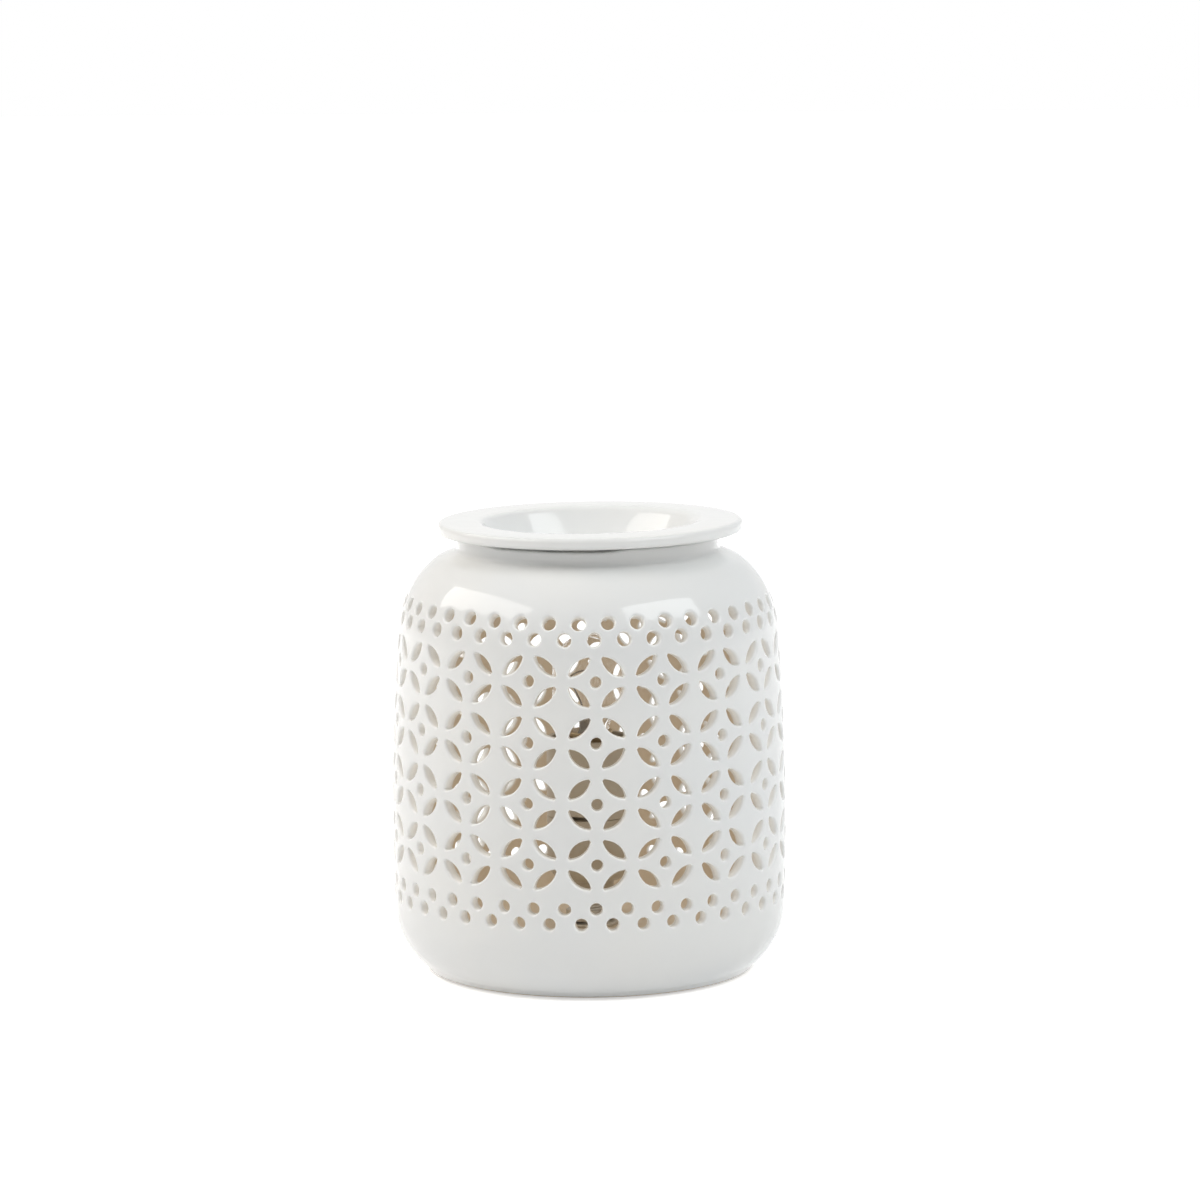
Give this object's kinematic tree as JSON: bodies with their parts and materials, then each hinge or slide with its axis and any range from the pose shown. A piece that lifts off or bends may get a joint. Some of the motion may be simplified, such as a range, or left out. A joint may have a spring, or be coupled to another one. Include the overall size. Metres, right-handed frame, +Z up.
{
  "type": "electric oil burner",
  "caption": "Electric oil burner: a round pierced white porcelain jar with a small lamp inside and a shallow flared oil dish resting in its neck.",
  "frame": {"origin": "centre of the felt's underside, on the surface the burner stands on, on the jar's axis", "axes": "+Z up along the jar's axis, -Y towards the front, +Y towards the cord hole at the back, +X to the right seen from the front"},
  "size_m": [0.1294, 0.1294, 0.1483],
  "materials": {
    "porcelain": "glossy white glaze",
    "felt": "short wool felt",
    "zinc_steel": "zinc plated",
    "holder_plastic": "smooth white moulded plastic",
    "core_ceramic": "unglazed steatite",
    "brass": "plain brass",
    "dark_glass": "black vitrite",
    "solder": "dull solder",
    "clear_glass": "clear blown glass",
    "wire": "bare wire",
    "bush_rubber": "smooth rubber"
  },
  "bodies": {
    "jar": {"pierced_jar": "porcelain", "felt_base": "felt", "threaded_stem": "zinc_steel", "stem_washers": "zinc_steel", "stem_nuts": "zinc_steel", "holder_base": "holder_plastic", "lock_screw": "zinc_steel", "holder_sleeve": "holder_plastic", "holder_core": "core_ceramic", "terminals": "brass", "terminal_screws": "zinc_steel", "centre_contact": "brass", "screw_shell": "brass", "cord_bush": "bush_rubber"},
    "dish": {"oil_dish": "porcelain"},
    "bulb": {"bulb_cap": "brass", "bulb_insulator": "dark_glass", "bulb_eyelet": "solder", "bulb_glass": "clear_glass", "bulb_mount": "clear_glass", "lead_wires": "wire", "filament": "wire"}
  },
  "joints": [
    {"name": "dish_lift", "type": "slide", "parent": "jar", "child": "dish", "axis": [0, 0, 1], "range_m": [0, 0.04]},
    {"name": "bulb_turn", "type": "hinge", "parent": "jar", "child": "bulb", "pos_m": [0, 0, 0.06], "axis": [0, 0, 1], "range_deg": [0, 1800]}
  ]
}
